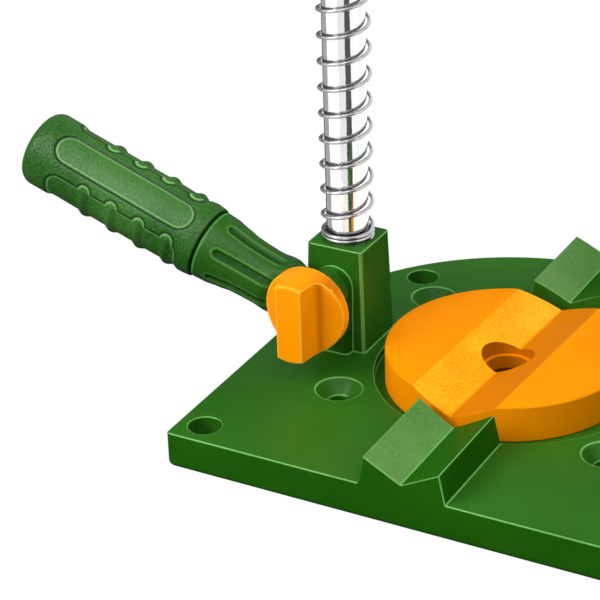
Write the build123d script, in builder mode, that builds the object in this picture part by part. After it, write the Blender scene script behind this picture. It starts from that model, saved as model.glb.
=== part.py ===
from build123d import *
from math import cos, sin, radians
import os

# A small two-column drill stand. The origin is on the underside, at the centre of the four bench
# screw holes. +Z is up, the front edge faces -Y, and the handle points to -X.

os.makedirs("parts", exist_ok=True)

# Base casting
plate_half_width = 94.0
plate_front = 95.0
plate_thickness = 14.6
plate_bottom_round = 3.0
plate_corner_round = 1.5
pocket_depth = 8.4
rim_wall = 6.0
rib_width = 4.0
centre_opening_radius = 38.0
centre_ring_wall = 5.0
recess_radius = 52.3
recess_depth = 3.0

side_hole_inset = 10.1
front_hole_inset = 10.4
rear_hole_angle = 40.0
plain_hole_radius = 6.05
plain_hole_boss = 4.0
bench_hole_x = 52.8
bench_hole_y = 40.2
bench_hole_radius = 4.2
bench_sink_radius = 8.7
bench_hole_boss = 5.0

# V rails on the plate
rail_top_half = 14.5
rail_foot_half = 16.8
rail_height = 11.35
rail_v_depth = 7.7

# Columns and their sockets
column_radius = 8.0
column_inset = 25.0
column_fit = 0.05
column_end_chamfer = 0.8
socket_top_half = 11.45
socket_foot_half = 12.7
socket_height = 41.45
socket_edge_round = 1.6
socket_floor = 10.5
socket_pad_half = 15.0
bolt_shank_radius = 4.0
bolt_head_radius = 6.5
bolt_head_height = 6.0
bolt_recess = 0.4
bolt_length = 14.0
bolt_socket_radius = 3.4
bolt_socket_depth = 3.2
bolt_clearance = 0.3

# Boss that carries the handle and the knob
pivot_height = 40.7
boss_radius = 7.7
boss_front = 16.6
boss_edge_round = 2.4

# Insert
insert_radius = 45.7
insert_x = -1.9
insert_y = -1.8
insert_turn = -2.7
insert_v_half = 17.15
insert_v_depth = 6.72
insert_edge_round = 1.0
insert_hole_radius = 9.9
insert_hole_lower_radius = 8.4
insert_step_height = 2.4
insert_skin = 4.0
insert_wall = 3.5
insert_rib = 3.0

# Springs
spring_outer_radius = 10.25
wire_radius = 0.85
spring_pitch = 9.93
closed_turns = 2
closed_gap = 0.1
wire_sides = 4

# Carriage
carriage_rest_height = 194.0
guide_radius = 15.0
guide_height = 46.0
guide_bore_radius = 8.6
bush_outer_radius = 10.5
bush_length = 12.0
bush_running_gap = 0.05
collar_bore_radius = 21.5
collar_wall = 9.0
collar_height = 24.0
collar_slit = 3.0
arm_width = 15.0
arm_web = 6.0
clamp_lug_width = 10.0
clamp_lug_front = 47.0
clamp_screw_inset = 8.5
clamp_screw_radius = 3.0
clamp_screw_gap = 0.3
clamp_head_radius = 5.0
clamp_head_height = 6.0
clamp_washer_radius = 6.0
clamp_washer_thickness = 1.2
clamp_nut_across = 10.0
clamp_nut_thickness = 5.0
clamp_nut_bite = 1.4

# Column tops
buffer_thickness = 3.0
buffer_outer_radius = 11.5
buffer_gap = 0.1
cap_outer_radius = 12.5
cap_cover = 3.5
cap_hold = 5.4
cap_edge = 1.6
cap_screw_radius = 3.0
cap_screw_length = 14.0
cap_head_radius = 5.0
cap_head_height = 3.4

# Depth stop
stop_rod_radius = 4.0
stop_rod_length = 160.0
stop_rod_reach = 80.0
stop_rod_y = -24.0
stop_ear_half = 8.0
stop_ear_height = 20.0
stop_ear_front = 33.0
stop_gap = 0.05
stop_knob_scale = 0.62
stop_stud_radius = 3.0

# Wing knob
knob_radius = 16.3
knob_rim_thickness = 4.2
knob_depth = 16.7
knob_front_radius = 15.7
knob_bar_width = 10.4
knob_bar_root = 12.8
knob_wall_end = 9.1
knob_scoop_rise = 1.7
knob_scoop_width = 2.6
knob_edge_round = 0.9
stud_radius = 4.0
stud_gap = 0.05
stud_tip_inset = 1.4
stud_floor_wall = 1.0
stud_head_radius = 6.5
stud_head_height = 5.3
washer_radius = 9.0
washer_thickness = 1.8
face_gap = 0.1

# Handle
handle_rise = 19.9
handle_drop = 3.58
handle_plane_y = -24.0
lug_thickness = 12.3
lug_eye_radius = 9.0
neck_end_station = 17.8
seam_station = 48.05
neck_seam_radius = 13.5
neck_waist_radius = 11.2
neck_waist_station = 24.0
grip_length = 79.0
grip_radius = 15.0
grip_seam_radius = 14.4
grip_wall = 5.0
grip_end_round = 4.5
spigot_gap = 0.05
spigot_length = 66.0
flute_count = 7
flute_turn = 27.7
flute_radius = 2.1
flute_depth = 0.9
flute_end_station = 40.0
panel_turn = 57.5
panel_length = 62.0
panel_width = 8.4
panel_depth = 0.6
panel_station = 85.0
side_panel_turn = 90.0
side_panel_length = 59.0
side_panel_width = 20.6
side_panel_corner = 5.0
side_panel_depth = 0.9
side_panel_station = 84.5
ridge_count = 4
ridge_pitch = 12.67
ridge_station = 78.5
ridge_width = 5.2
ridge_reach = 23.0
ridge_rise = 0.6

plate_top = plate_thickness
ledge_height = plate_top - recess_depth
rail_top = plate_top + rail_height
socket_top = plate_top + socket_height
socket_bore_radius = column_radius + column_fit
column_x = plate_half_width - column_inset
pivot_x = -column_x


# The outline shared by the plate and the rails: square in front, a half circle behind
with BuildSketch() as plate_outline:
    with BuildLine():
        Polyline((-plate_half_width, 0), (-plate_half_width, -plate_front),
                 (plate_half_width, -plate_front), (plate_half_width, 0))
        ThreePointArc((plate_half_width, 0), (0, plate_half_width), (-plate_half_width, 0))
    make_face()
    fillet(plate_outline.vertices().group_by(Axis.Y)[0], plate_corner_round)

corner_hole_x = plate_half_width - side_hole_inset
corner_hole_y = plate_front - front_hole_inset
rear_hole_x = corner_hole_x * cos(radians(rear_hole_angle))
rear_hole_y = corner_hole_x * sin(radians(rear_hole_angle))
plain_holes = [(-corner_hole_x, -corner_hole_y), (corner_hole_x, -corner_hole_y),
               (-rear_hole_x, rear_hole_y), (rear_hole_x, rear_hole_y)]
bench_holes = [(sx * bench_hole_x, sy * bench_hole_y) for sx in (-1, 1) for sy in (-1, 1)]
column_places = [(-column_x, 0), (column_x, 0)]

# Underside pockets: the outline less its rim, the ring, the hole bosses, the pads and the ribs
rib_reach = plate_half_width * 2
with BuildSketch() as pocket_outline:
    add(plate_outline.sketch)
    offset(amount=-rim_wall, mode=Mode.REPLACE)
    Circle(centre_opening_radius + centre_ring_wall, mode=Mode.SUBTRACT)
    with Locations(*plain_holes):
        Circle(plain_hole_radius + plain_hole_boss, mode=Mode.SUBTRACT)
    with Locations(*bench_holes):
        Circle(bench_hole_radius + bench_hole_boss, mode=Mode.SUBTRACT)
    with Locations(*column_places):
        Rectangle(2 * socket_pad_half, 2 * socket_pad_half, mode=Mode.SUBTRACT)
    Rectangle(rib_reach, rib_width, mode=Mode.SUBTRACT)
    with Locations((-rail_top_half, 0), (rail_top_half, 0)):
        Rectangle(rib_width, rib_reach, mode=Mode.SUBTRACT)
    Rectangle(rib_reach * 1.5, rib_width, rotation=45, mode=Mode.SUBTRACT)
    Rectangle(rib_reach * 1.5, rib_width, rotation=-45, mode=Mode.SUBTRACT)

# V rails, drawn looking along Y and cut to the plate's outline
with BuildPart() as rails:
    with BuildSketch(Plane.XZ):
        with BuildLine():
            Polyline((-rail_foot_half, ledge_height), (-rail_foot_half, plate_top),
                     (-rail_top_half, rail_top), (0, rail_top - rail_v_depth),
                     (rail_top_half, rail_top), (rail_foot_half, plate_top),
                     (rail_foot_half, ledge_height), close=True)
        make_face()
    extrude(amount=plate_front, both=True)
    with BuildSketch():
        add(plate_outline.sketch)
    extrude(amount=rail_top, mode=Mode.INTERSECT)

with BuildPart() as base_plate:
    with BuildSketch():
        add(plate_outline.sketch)
    extrude(amount=plate_thickness)
    fillet(base_plate.faces().sort_by(Axis.Z)[0].edges(), plate_bottom_round)
    add(rails.part)
    # Column sockets: tapered blocks with rounded edges
    for place in column_places:
        with BuildSketch(Plane.XY.offset(plate_top)):
            with Locations(place):
                RectangleRounded(2 * socket_foot_half, 2 * socket_foot_half, socket_edge_round)
        with BuildSketch(Plane.XY.offset(socket_top)):
            with Locations(place):
                RectangleRounded(2 * socket_top_half, 2 * socket_top_half, socket_edge_round)
        loft()
        # The arched boss in front of the socket
        with BuildSketch(Plane.XZ.offset(0)) as arch:
            with Locations((place[0], pivot_height)):
                Circle(boss_radius)
            with Locations((place[0], (plate_top + pivot_height) / 2)):
                Rectangle(2 * boss_radius, pivot_height - plate_top)
        extrude(amount=boss_front)
    boss_faces = base_plate.faces().filter_by(Axis.Y).filter_by_position(
        Axis.Y, -boss_front - 0.01, -boss_front + 0.01)
    for boss_face in boss_faces:
        fillet(boss_face.edges().filter_by_position(Axis.Z, plate_top + 0.01, rail_top * 9),
               boss_edge_round)
    # Recess with a ledge for the insert, and the opening below it
    with BuildSketch(Plane.XY.offset(ledge_height)):
        Circle(recess_radius)
    extrude(amount=rail_top, mode=Mode.SUBTRACT)
    with BuildSketch():
        Circle(centre_opening_radius)
    extrude(amount=plate_thickness, mode=Mode.SUBTRACT)
    # Ribbed underside
    with BuildSketch():
        add(pocket_outline.sketch)
    extrude(amount=pocket_depth, mode=Mode.SUBTRACT)
    # Holes through the plate
    with Locations(Plane.XY.offset(plate_top)):
        with Locations(*plain_holes):
            Hole(plain_hole_radius, depth=plate_thickness)
        with Locations(*bench_holes):
            CounterSinkHole(bench_hole_radius, bench_sink_radius, depth=plate_thickness)
    # Column bores, with a screw from below
    with Locations(Plane.XY.offset(socket_top)):
        with Locations(*column_places):
            Hole(socket_bore_radius, depth=socket_top - socket_floor)
    with Locations(*column_places):
        Hole(bolt_shank_radius + bolt_clearance, depth=2 * socket_floor)
    with BuildSketch():
        with Locations(*column_places):
            Circle(bolt_head_radius + bolt_clearance)
    extrude(amount=bolt_recess + bolt_head_height, mode=Mode.SUBTRACT)
    # The boss's blind screw hole stops short of the column's bore
    for place in column_places:
        with BuildSketch(Plane.XZ.offset(boss_front)):
            with Locations((place[0], pivot_height)):
                Circle(stud_radius + stud_gap)
        extrude(amount=-(boss_front - socket_bore_radius - stud_floor_wall), mode=Mode.SUBTRACT)
base_plate.part.label = "base_plate"
export_step(base_plate.part, "parts/base_plate.step")

# The insert stands on the ledge, level with the rails, a little turned and off centre
insert_height = rail_top - ledge_height
insert_plane = Plane(origin=(insert_x, insert_y, ledge_height),
                     x_dir=(cos(radians(insert_turn)), sin(radians(insert_turn)), 0), z_dir=(0, 0, 1))
with BuildPart() as v_insert:
    with BuildSketch(insert_plane):
        Circle(insert_radius)
    extrude(amount=insert_height)
    fillet(v_insert.faces().sort_by(Axis.Z)[-1].edges(), insert_edge_round)
    with BuildSketch(Plane(origin=insert_plane.origin, x_dir=insert_plane.x_dir,
                           z_dir=-insert_plane.y_dir)):
        with BuildLine():
            Polyline((-insert_v_half, insert_height), (0, insert_height - insert_v_depth),
                     (insert_v_half, insert_height), close=True)
        make_face()
    extrude(amount=insert_radius, both=True, mode=Mode.SUBTRACT)
    # Stepped hole for the drill
    with BuildSketch(insert_plane):
        Circle(insert_hole_lower_radius)
    extrude(amount=insert_height, mode=Mode.SUBTRACT)
    with BuildSketch(insert_plane.offset(insert_height - insert_v_depth - insert_step_height)):
        Circle(insert_hole_radius)
    extrude(amount=insert_height, mode=Mode.SUBTRACT)
    # Cored underside: outer wall, hub and cross ribs stay
    with BuildSketch(insert_plane):
        Circle(insert_radius - insert_wall)
        Circle(insert_hole_radius + insert_wall, mode=Mode.SUBTRACT)
        Rectangle(2 * insert_radius, insert_rib, mode=Mode.SUBTRACT)
        Rectangle(insert_rib, 2 * insert_radius, mode=Mode.SUBTRACT)
    extrude(amount=insert_height - insert_v_depth - insert_skin, mode=Mode.SUBTRACT)
v_insert.part.label = "v_insert"
export_step(v_insert.part, "parts/v_insert.step")

# Columns, their bolts, springs, buffers, caps and cap screws, the same on both sides
coil_radius = spring_outer_radius - wire_radius
spring_bottom = socket_top + wire_radius
spring_top = carriage_rest_height - wire_radius
closed_rise = closed_turns * (2 * wire_radius + closed_gap)
active_rise = spring_top - spring_bottom - 2 * closed_rise
active_turns = round(active_rise / spring_pitch)
# Each stretch of the coil: where it starts, how far it rises and how many turns it takes
coil_stretches = [
    (spring_bottom, closed_rise, closed_turns),
    (spring_bottom + closed_rise, active_rise, active_turns),
    (spring_top - closed_rise, closed_rise, closed_turns),
]
buffer_bottom = carriage_rest_height + guide_height + buffer_gap
cap_bottom = buffer_bottom + buffer_thickness
column_top = cap_bottom + cap_hold
cap_top = column_top + cap_cover

with BuildPart() as coil_spring:
    for start, rise, turns in coil_stretches:
        with BuildLine(Plane.XY.offset(start)) as coil:
            Helix(pitch=rise / turns, height=rise, radius=coil_radius)
        with BuildSketch(Plane(origin=coil.line @ 0, x_dir=(1, 0, 0), z_dir=(0, 1, 0))):
            RegularPolygon(wire_radius, wire_sides)
        sweep(path=coil.line, is_frenet=True)

for side, place in (("left", column_places[0]), ("right", column_places[1])):
    with BuildPart() as column:
        with BuildSketch(Plane.XY.offset(socket_floor)):
            with Locations(place):
                Circle(column_radius)
        extrude(amount=column_top - socket_floor)
        chamfer(column.edges().filter_by(GeomType.CIRCLE), column_end_chamfer)
        with Locations(Plane.XY.offset(socket_floor)):
            with Locations(place):
                Cylinder(bolt_shank_radius, bolt_length - socket_floor + bolt_recess + bolt_head_height,
                         align=(Align.CENTER, Align.CENTER, Align.MIN), mode=Mode.SUBTRACT)
        with Locations(Plane.XY.offset(column_top)):
            with Locations(place):
                Hole(cap_screw_radius, depth=cap_screw_length)
    column.part.label = f"{side}_column"
    export_step(column.part, f"parts/{side}_column.step")

    head_base = bolt_recess + bolt_head_height
    with BuildPart() as column_bolt:
        with BuildSketch(Plane.XY.offset(bolt_recess)):
            with Locations(place):
                Circle(bolt_head_radius)
                RegularPolygon(bolt_socket_radius, 6, mode=Mode.SUBTRACT)
        extrude(amount=bolt_socket_depth)
        with BuildSketch(Plane.XY.offset(bolt_recess + bolt_socket_depth)):
            with Locations(place):
                Circle(bolt_head_radius)
        extrude(amount=bolt_head_height - bolt_socket_depth)
        with BuildSketch(Plane.XY.offset(head_base)):
            with Locations(place):
                Circle(bolt_shank_radius)
        extrude(amount=bolt_length - 1)
    column_bolt.part.label = f"{side}_column_bolt"
    export_step(column_bolt.part, f"parts/{side}_column_bolt.step")

    with BuildPart() as spring:
        with Locations(place):
            add(coil_spring.part)
    spring.part.label = f"{side}_spring"
    export_step(spring.part, f"parts/{side}_spring.step")

    with BuildPart() as buffer_ring:
        with BuildSketch(Plane.XY.offset(buffer_bottom)):
            with Locations(place):
                Circle(buffer_outer_radius)
                Circle(column_radius + column_fit, mode=Mode.SUBTRACT)
        extrude(amount=buffer_thickness)
        chamfer(buffer_ring.edges().filter_by(GeomType.CIRCLE).sort_by(
            lambda edge: edge.radius)[-2:], buffer_thickness / 5)
    buffer_ring.part.label = f"{side}_buffer"
    export_step(buffer_ring.part, f"parts/{side}_buffer.step")

    with BuildPart() as end_cap:
        with BuildSketch(Plane.XY.offset(cap_bottom)):
            with Locations(place):
                Circle(cap_outer_radius)
        extrude(amount=cap_top - cap_bottom)
        chamfer(end_cap.faces().sort_by(Axis.Z)[-1].edges(), cap_edge)
        with BuildSketch(Plane.XY.offset(cap_bottom)):
            with Locations(place):
                Circle(column_radius + column_fit)
        extrude(amount=column_top - cap_bottom, mode=Mode.SUBTRACT)
        with Locations(Plane.XY.offset(cap_top)):
            with Locations(place):
                Hole(cap_screw_radius + bolt_clearance, depth=cap_cover * 2)
    end_cap.part.label = f"{side}_end_cap"
    export_step(end_cap.part, f"parts/{side}_end_cap.step")

    with BuildPart() as cap_screw:
        with BuildSketch(Plane.XY.offset(cap_top)):
            with Locations(place):
                Circle(cap_head_radius)
        extrude(amount=cap_head_height)
        chamfer(cap_screw.faces().sort_by(Axis.Z)[-1].edges(), cap_head_height / 4)
        with BuildSketch(Plane.XY.offset(cap_top + cap_head_height)):
            with Locations(place):
                RegularPolygon(cap_screw_radius * 0.85, 6)
        extrude(amount=-cap_head_height * 0.6, mode=Mode.SUBTRACT)
        with BuildSketch(Plane.XY.offset(cap_top)):
            with Locations(place):
                Circle(cap_screw_radius)
        extrude(amount=-(cap_screw_length - 1))
    cap_screw.part.label = f"{side}_cap_screw"
    export_step(cap_screw.part, f"parts/{side}_cap_screw.step")

    for level, bush_bottom in (("lower", carriage_rest_height),
                               ("upper", carriage_rest_height + guide_height - bush_length)):
        with BuildPart() as bush:
            with BuildSketch(Plane.XY.offset(bush_bottom)):
                with Locations(place):
                    Circle(bush_outer_radius)
                    Circle(column_radius + bush_running_gap, mode=Mode.SUBTRACT)
            extrude(amount=bush_length)
        bush.part.label = f"{side}_{level}_bush"
        export_step(bush.part, f"parts/{side}_{level}_bush.step")

# Carriage: guide bosses, arms with ribs, and the split collar
collar_radius = collar_bore_radius + collar_wall
collar_bottom = carriage_rest_height + (guide_height - collar_height) / 2
clamp_screw_y = clamp_screw_inset - clamp_lug_front
clamp_screw_z = collar_bottom + collar_height / 2
lug_outer = collar_slit / 2 + clamp_lug_width
stop_ear_bottom = carriage_rest_height + (guide_height - stop_ear_height) / 2
stop_screw_z = stop_ear_bottom + stop_ear_height / 2
with BuildPart() as carriage:
    with BuildSketch(Plane.XY.offset(carriage_rest_height)):
        with Locations(*column_places):
            Circle(guide_radius)
    extrude(amount=guide_height)
    chamfer(carriage.edges().filter_by(GeomType.CIRCLE), 1)
    # Arms are wide webs with a taller rib along the middle
    with BuildSketch(Plane.XY.offset(collar_bottom)):
        Circle(collar_radius)
        Rectangle(2 * column_x, arm_width)
        with Locations((0, -clamp_lug_front / 2)):
            Rectangle(2 * lug_outer, clamp_lug_front)
        with Locations((column_x, -stop_ear_front / 2)):
            Rectangle(2 * stop_ear_half, stop_ear_front)
    extrude(amount=collar_height)
    with BuildSketch(Plane.XY.offset(collar_bottom)):
        for side_sign in (-1, 1):
            for rib_sign in (-1, 1):
                with Locations((side_sign * (collar_radius + column_x - guide_radius) / 2,
                                rib_sign * (arm_width / 2 + arm_web) / 2)):
                    SlotOverall(column_x - guide_radius - collar_radius - 4, arm_web)
    extrude(amount=collar_height * 0.3, mode=Mode.SUBTRACT)
    with BuildSketch(Plane.XY.offset(collar_bottom)):
        Circle(collar_bore_radius)
        with Locations((0, -clamp_lug_front)):
            Rectangle(collar_slit, 2 * clamp_lug_front - collar_bore_radius)
    extrude(amount=collar_height, mode=Mode.SUBTRACT)
    with Locations(Plane.XY.offset(carriage_rest_height + guide_height)):
        with Locations(*column_places):
            CounterBoreHole(guide_bore_radius, bush_outer_radius, bush_length, depth=guide_height)
    with BuildSketch(Plane.XY.offset(carriage_rest_height)):
        with Locations(*column_places):
            Circle(bush_outer_radius)
    extrude(amount=bush_length, mode=Mode.SUBTRACT)
    # Clamp screw hole across the lugs
    with BuildSketch(Plane.YZ.offset(-2 * lug_outer)):
        with Locations((clamp_screw_y, clamp_screw_z)):
            Circle(clamp_screw_radius + clamp_screw_gap)
    extrude(amount=4 * lug_outer, mode=Mode.SUBTRACT)
    with BuildSketch(Plane.YZ.offset(-lug_outer)):
        with Locations((clamp_screw_y, clamp_screw_z)):
            RegularPolygon(clamp_nut_across / 2 + clamp_screw_gap, 6, major_radius=False)
    extrude(amount=clamp_nut_bite, mode=Mode.SUBTRACT)
    # Depth stop: a hole for the rod and one for its screw
    with BuildSketch(Plane.XY.offset(carriage_rest_height)):
        with Locations((column_x, stop_rod_y)):
            Circle(stop_rod_radius + stop_gap)
    extrude(amount=guide_height, mode=Mode.SUBTRACT)
    with BuildSketch(Plane.XZ.offset(stop_ear_front)):
        with Locations((column_x, stop_screw_z)):
            Circle(stop_stud_radius + stop_gap)
    extrude(amount=-(stop_ear_front + stop_rod_y), mode=Mode.SUBTRACT)
carriage.part.label = "carriage"
export_step(carriage.part, "parts/carriage.step")

# Clamp screw, washer and nut, along X
screw_axis_plane = Plane(origin=(lug_outer, clamp_screw_y, clamp_screw_z), x_dir=(0, 1, 0),
                         z_dir=(1, 0, 0))
with BuildPart() as collar_washer:
    with BuildSketch(screw_axis_plane):
        Circle(clamp_washer_radius)
        Circle(clamp_screw_radius + clamp_screw_gap, mode=Mode.SUBTRACT)
    extrude(amount=clamp_washer_thickness)
collar_washer.part.label = "collar_washer"
export_step(collar_washer.part, "parts/collar_washer.step")

nut_outer = clamp_nut_thickness - clamp_nut_bite
with BuildPart() as collar_screw:
    with BuildSketch(screw_axis_plane.offset(clamp_washer_thickness)):
        Circle(clamp_head_radius)
    extrude(amount=clamp_head_height)
    with BuildSketch(screw_axis_plane.offset(clamp_washer_thickness + clamp_head_height)):
        RegularPolygon(clamp_screw_radius, 6)
    extrude(amount=-clamp_head_height / 2, mode=Mode.SUBTRACT)
    with BuildSketch(screw_axis_plane.offset(clamp_washer_thickness)):
        Circle(clamp_screw_radius)
    extrude(amount=-(2 * lug_outer + clamp_washer_thickness + nut_outer + 1.5))
collar_screw.part.label = "collar_screw"
export_step(collar_screw.part, "parts/collar_screw.step")

with BuildPart() as collar_nut:
    with BuildSketch(screw_axis_plane.offset(clamp_nut_bite - 2 * lug_outer)):
        RegularPolygon(clamp_nut_across / 2, 6, major_radius=False)
        Circle(clamp_screw_radius, mode=Mode.SUBTRACT)
    extrude(amount=-clamp_nut_thickness)
collar_nut.part.label = "collar_nut"
export_step(collar_nut.part, "parts/collar_nut.step")

with BuildPart() as stop_rod:
    with BuildSketch(Plane.XY.offset(carriage_rest_height - stop_rod_reach)):
        with Locations((column_x, stop_rod_y)):
            Circle(stop_rod_radius)
    extrude(amount=stop_rod_length)
    chamfer(stop_rod.edges().filter_by(GeomType.CIRCLE), 1)
stop_rod.part.label = "stop_rod"
export_step(stop_rod.part, "parts/stop_rod.step")


def build_wing_knob(back, scale, stud_hole, head_radius, head_height):
    """A round knob with a wing across it. back is the plane of its rear face, facing forwards."""
    rim = knob_radius * scale
    rim_top = knob_rim_thickness * scale
    depth = knob_depth * scale
    half_bar = knob_bar_width * scale / 2
    half_root = knob_bar_root * scale / 2
    wall_end = knob_wall_end * scale
    floor_x = half_root + knob_scoop_width * scale
    floor_depth = rim_top + knob_scoop_rise * scale
    reach = 2 * rim
    with BuildPart() as knob:
        with BuildSketch(back):
            Circle(rim)
        extrude(amount=rim_top)
        with BuildSketch(back.offset(rim_top)):
            Circle(rim)
        with BuildSketch(back.offset(depth)):
            Circle(knob_front_radius * scale)
        loft()
        front_face = knob.faces().sort_by(Axis(back.origin, back.z_dir))[-1]
        fillet(front_face.edges(), knob_edge_round * scale)
        # Scoops on both sides: a wall with a little draft, a round root and a floor that falls to the rim
        with BuildSketch(Plane(origin=back.origin, x_dir=back.x_dir, z_dir=back.y_dir)):
            for sign in (-1, 1):
                with BuildLine():
                    Line((sign * half_bar, -depth), (sign * half_root, -wall_end))
                    TangentArc((sign * half_root, -wall_end), (sign * floor_x, -floor_depth),
                               tangent=(sign * (half_root - half_bar), depth - wall_end))
                    Polyline((sign * floor_x, -floor_depth), (sign * rim, -rim_top),
                             (sign * reach, -rim_top), (sign * reach, -depth - 1),
                             (sign * half_bar, -depth - 1), (sign * half_bar, -depth))
                make_face()
        extrude(amount=reach, both=True, mode=Mode.SUBTRACT)
        with BuildSketch(back):
            Circle(stud_hole)
        extrude(amount=head_height + 1, mode=Mode.SUBTRACT)
        with BuildSketch(back.offset(1)):
            RegularPolygon(head_radius, 6, major_radius=False)
        extrude(amount=head_height, mode=Mode.SUBTRACT)
    return knob.part


# Handle: the eye's flat lug, the fluted neck and the spigot inside the grip
lug_back_y = -boss_front - face_gap
lug_front_y = lug_back_y - lug_thickness
outward = Vector(-cos(radians(handle_rise)), 0, sin(radians(handle_rise)))
upward = Vector(sin(radians(handle_rise)), 0, cos(radians(handle_rise)))
pivot = Vector(pivot_x, 0, pivot_height)
axis_foot = pivot - upward * handle_drop + Vector(0, handle_plane_y, 0)
grip_axis = Axis(axis_foot, outward)


def station_plane(station):
    """The plane square to the handle's axis at a distance from the pivot, local Y up."""
    return Plane(origin=axis_foot + outward * station, x_dir=(0, -1, 0), z_dir=outward)


def facing_plane(turn):
    """The plane through the handle's axis that faces a turn from the front towards the top."""
    facing = Vector(0, -1, 0) * cos(radians(turn)) + upward * sin(radians(turn))
    return Plane(origin=axis_foot, x_dir=outward, z_dir=facing)


side_view = Plane(origin=axis_foot, x_dir=outward, z_dir=(0, 1, 0))
eye_view = Plane(origin=pivot + Vector(0, lug_front_y, 0), x_dir=outward, z_dir=(0, 1, 0))
lug_centre_y = handle_plane_y - (lug_front_y + lug_back_y) / 2
neck_sections = [
    (neck_end_station, lug_thickness / 2, neck_waist_radius + 0.1, -lug_centre_y),
    (neck_waist_station, lug_thickness / 2 + 2.2, neck_waist_radius, -lug_centre_y / 2),
    ((neck_waist_station + seam_station) / 2, neck_waist_radius + 0.6, neck_waist_radius + 0.8, 0),
    (seam_station, neck_seam_radius, neck_seam_radius, 0),
]
with BuildPart() as handle_core:
    for station, half_depth, half_height, shift in neck_sections:
        with BuildSketch(station_plane(station)):
            with Locations((-shift, 0)):
                Ellipse(half_depth, half_height)
    loft()
    # The flat lug around the pivot, blended into the neck
    with BuildSketch(eye_view):
        with Locations((0, 0)):
            Circle(lug_eye_radius)
        with BuildLine():
            Polyline((0, lug_eye_radius), (neck_end_station, neck_waist_radius - handle_drop - 1.4),
                     (neck_end_station, -neck_waist_radius - handle_drop + 1.4),
                     (0, -lug_eye_radius), close=True)
        make_face()
    extrude(amount=lug_thickness)
    # Spigot inside the grip
    with BuildSketch(station_plane(seam_station)):
        Circle(grip_radius - grip_wall - spigot_gap)
    extrude(amount=spigot_length)
    # Flutes around the neck, with round ends
    for index in range(flute_count):
        turn = flute_turn + index * 360 / flute_count
        inner = neck_waist_radius + flute_radius - flute_depth
        outer = neck_seam_radius + flute_radius - flute_depth * 1.3
        start = station_plane(neck_waist_station - 3)
        stop = station_plane(flute_end_station)
        direction_in = Vector(cos(radians(turn)), sin(radians(turn)), 0)
        near = start.from_local_coords(direction_in * inner)
        far = stop.from_local_coords(direction_in * outer)
        run = far - near
        with BuildSketch(Plane(origin=near, z_dir=run)):
            Circle(flute_radius)
        extrude(amount=run.length, mode=Mode.SUBTRACT)
        with Locations(Location(far)):
            Sphere(flute_radius, mode=Mode.SUBTRACT)
    with BuildSketch(Plane.XZ.offset(0)):
        with Locations((pivot_x, pivot_height)):
            Circle(stud_radius + stud_gap)
    extrude(amount=boss_front * 3, mode=Mode.SUBTRACT)
handle_core.part.label = "handle_core"
export_step(handle_core.part, "parts/handle_core.step")

# Grip: a turned sleeve with a long bare panel and ridged side panels
grip_end = seam_station + grip_length
with BuildPart() as handle_grip:
    with BuildSketch(side_view):
        with BuildLine():
            Polyline((seam_station, 0), (seam_station, grip_seam_radius - 0.8))
            Spline((seam_station, grip_seam_radius - 0.8), (seam_station + 1.2, grip_seam_radius),
                   (seam_station + 12, grip_radius), (grip_end - 20, grip_radius - 0.2),
                   (grip_end - grip_end_round, grip_radius))
            ThreePointArc((grip_end - grip_end_round, grip_radius),
                          (grip_end - grip_end_round * 0.29, grip_radius - grip_end_round * 0.29),
                          (grip_end, grip_radius - grip_end_round))
            Spline((grip_end, grip_radius - grip_end_round), (grip_end + 1.0, grip_radius / 2),
                   (grip_end + 1.4, 0))
            Line((grip_end + 1.4, 0), (seam_station, 0))
        make_face()
    revolve(axis=grip_axis)
    # The long bare panel faces forwards and up
    with BuildPart(mode=Mode.PRIVATE) as long_panel:
        with BuildSketch(facing_plane(panel_turn)):
            with Locations((panel_station, 0)):
                SlotOverall(panel_length, panel_width)
        extrude(amount=2 * grip_radius)
        with BuildSketch(station_plane(seam_station)):
            Circle(grip_radius - panel_depth)
        extrude(amount=grip_length, mode=Mode.SUBTRACT)
    add(long_panel.part, mode=Mode.SUBTRACT)
    # Sunk panels on both sides of it, each crossed by finger ridges with round ends
    for side_turn in (panel_turn - side_panel_turn, panel_turn + side_panel_turn):
        with BuildPart(mode=Mode.PRIVATE) as side_panel:
            with BuildSketch(facing_plane(side_turn)):
                with Locations((side_panel_station, 0)):
                    RectangleRounded(side_panel_length, side_panel_width, side_panel_corner)
            extrude(amount=2 * grip_radius)
            with BuildSketch(station_plane(seam_station)):
                Circle(grip_radius - side_panel_depth)
            extrude(amount=grip_length, mode=Mode.SUBTRACT)
        add(side_panel.part, mode=Mode.SUBTRACT)
        with BuildPart(mode=Mode.PRIVATE) as ridges:
            with BuildSketch(facing_plane(side_turn).offset(grip_radius / 3)):
                with Locations((ridge_station, 0)):
                    with GridLocations(ridge_pitch, 1, ridge_count, 1):
                        SlotOverall(ridge_reach, ridge_width, rotation=90)
            extrude(amount=2 * grip_radius)
            with BuildSketch(station_plane(seam_station)):
                Circle(grip_radius + ridge_rise)
            extrude(amount=grip_length, mode=Mode.INTERSECT)
        add(ridges.part)
    with BuildSketch(station_plane(seam_station)):
        Circle(grip_radius - grip_wall)
    extrude(amount=spigot_length + 0.5, mode=Mode.SUBTRACT)
handle_grip.part.label = "handle_grip"
export_step(handle_grip.part, "parts/handle_grip.step")

# Washer between the lug and the knob
with BuildPart() as handle_washer:
    with BuildSketch(Plane.XZ.offset(-lug_front_y)):
        with Locations((pivot_x, pivot_height)):
            Circle(washer_radius)
            Circle(stud_radius + clamp_screw_gap, mode=Mode.SUBTRACT)
    extrude(amount=washer_thickness)
handle_washer.part.label = "handle_washer"
export_step(handle_washer.part, "parts/handle_washer.step")

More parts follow.
